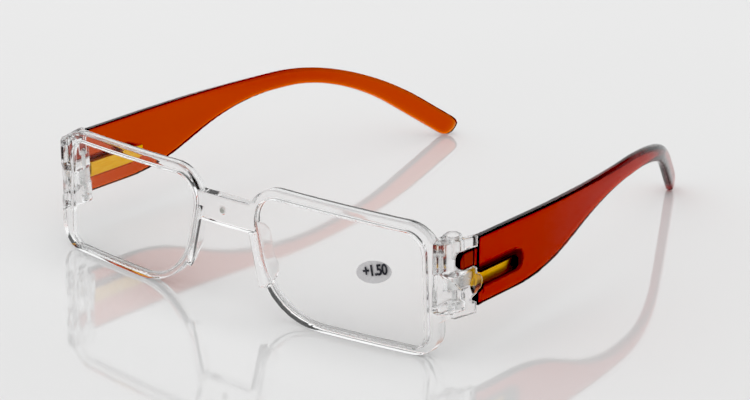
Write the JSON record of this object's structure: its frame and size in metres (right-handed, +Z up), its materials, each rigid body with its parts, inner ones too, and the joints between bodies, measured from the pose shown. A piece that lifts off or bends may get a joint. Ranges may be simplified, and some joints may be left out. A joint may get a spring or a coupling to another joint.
{
  "type": "eyeglasses",
  "caption": "Reading glasses with a clear one-piece front, two lenses, moulded nose pads and wide tapering temples on sprung side hinges.",
  "frame": {"origin": "middle of the overall width and depth, on the table that the rims and temple tips stand on", "axes": "+X to the wearer's left, +Y from the front back along the open temples, +Z up"},
  "size_m": [0.1366, 0.1552, 0.0354],
  "materials": {
    "clear_plastic": "clear, polished, injection moulded",
    "lens_plastic": "clear, optically polished",
    "sticker": "pale grey film",
    "amber_plastic": "amber tortoise tint, see-through, polished",
    "gold_metal": "gold plated",
    "spring_steel": "bright steel"
  },
  "bodies": {
    "front": {"front_frame": "clear_plastic", "left_lens": "lens_plastic", "right_lens": "lens_plastic", "power_sticker": "sticker", "left_hinge_screw": "spring_steel", "right_hinge_screw": "spring_steel", "left_hinge_nut": "spring_steel", "right_hinge_nut": "spring_steel"},
    "left_hinge_arm": {"left_hinge_slider": "spring_steel", "left_spring_retainer": "spring_steel"},
    "left_temple": {"left_temple": "amber_plastic", "left_hinge_housing": "gold_metal", "left_lock_bush": "gold_metal", "left_hinge_spring": "spring_steel"},
    "right_hinge_arm": {"right_hinge_slider": "spring_steel", "right_spring_retainer": "spring_steel"},
    "right_temple": {"right_temple": "amber_plastic", "right_hinge_housing": "gold_metal", "right_lock_bush": "gold_metal", "right_hinge_spring": "spring_steel"}
  },
  "joints": [
    {"name": "left_fold", "type": "hinge", "parent": "front", "child": "left_hinge_arm", "pos_m": [0.0636, -0.06325, 0.0189], "axis": [0, -0.0576, 0.9983], "range_deg": [0, 83.5]},
    {"name": "left_spring_travel", "type": "slide", "parent": "left_hinge_arm", "child": "left_temple", "axis": [0, 1, 0], "range_m": [0, 0.001], "stiffness_N_per_m": 500, "springref_m": -0.003, "deforming": ["left_hinge_spring"]},
    {"name": "right_fold", "type": "hinge", "parent": "front", "child": "right_hinge_arm", "pos_m": [-0.0636, -0.06325, 0.0189], "axis": [0, 0.0576, -0.9983], "range_deg": [0, 73]},
    {"name": "right_spring_travel", "type": "slide", "parent": "right_hinge_arm", "child": "right_temple", "axis": [0, 1, 0], "range_m": [0, 0.001], "stiffness_N_per_m": 500, "springref_m": -0.003, "deforming": ["right_hinge_spring"]}
  ]
}
